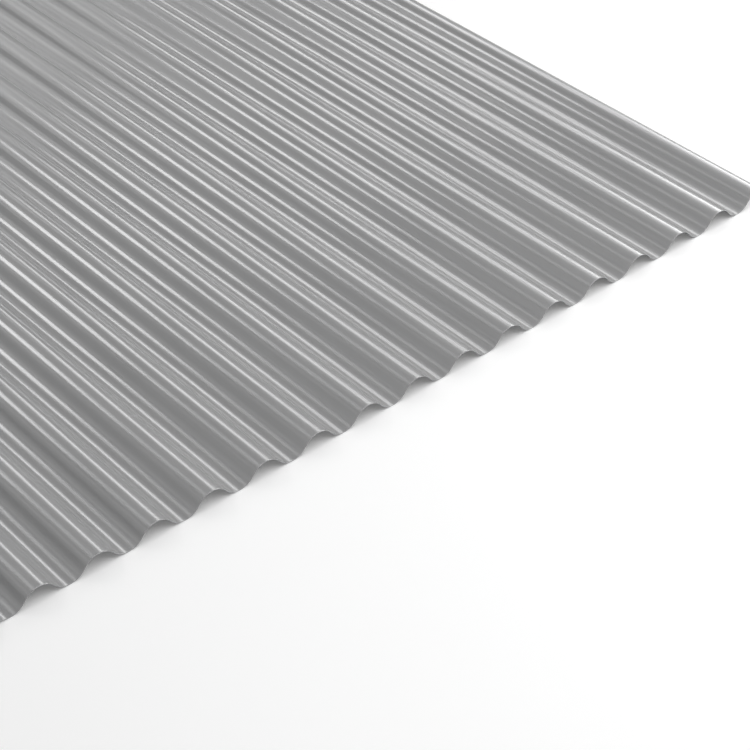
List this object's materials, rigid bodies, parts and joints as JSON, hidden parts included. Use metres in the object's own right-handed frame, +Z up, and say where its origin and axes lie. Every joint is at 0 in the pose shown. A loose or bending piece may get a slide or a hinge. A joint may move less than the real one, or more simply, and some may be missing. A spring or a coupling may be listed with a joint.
{
  "type": "corrugated metal sheet",
  "caption": "Thin coated steel sheet rolled into even round waves, with a short lip turned down along each side, for covering roofs, walls and fences.",
  "frame": {"origin": "on the floor below the middle of the sheet, level with the undersides of the troughs", "axes": "+Y along the ridges, +X across the waves, +Z up from the floor"},
  "size_m": [1.0308, 2, 0.018],
  "materials": {
    "coated_steel": "satin grey coil coating over zinc, with fine roll lines along the ridges"
  },
  "bodies": {
    "root": {"corrugated_sheet": "coated_steel"}
  },
  "joints": []
}
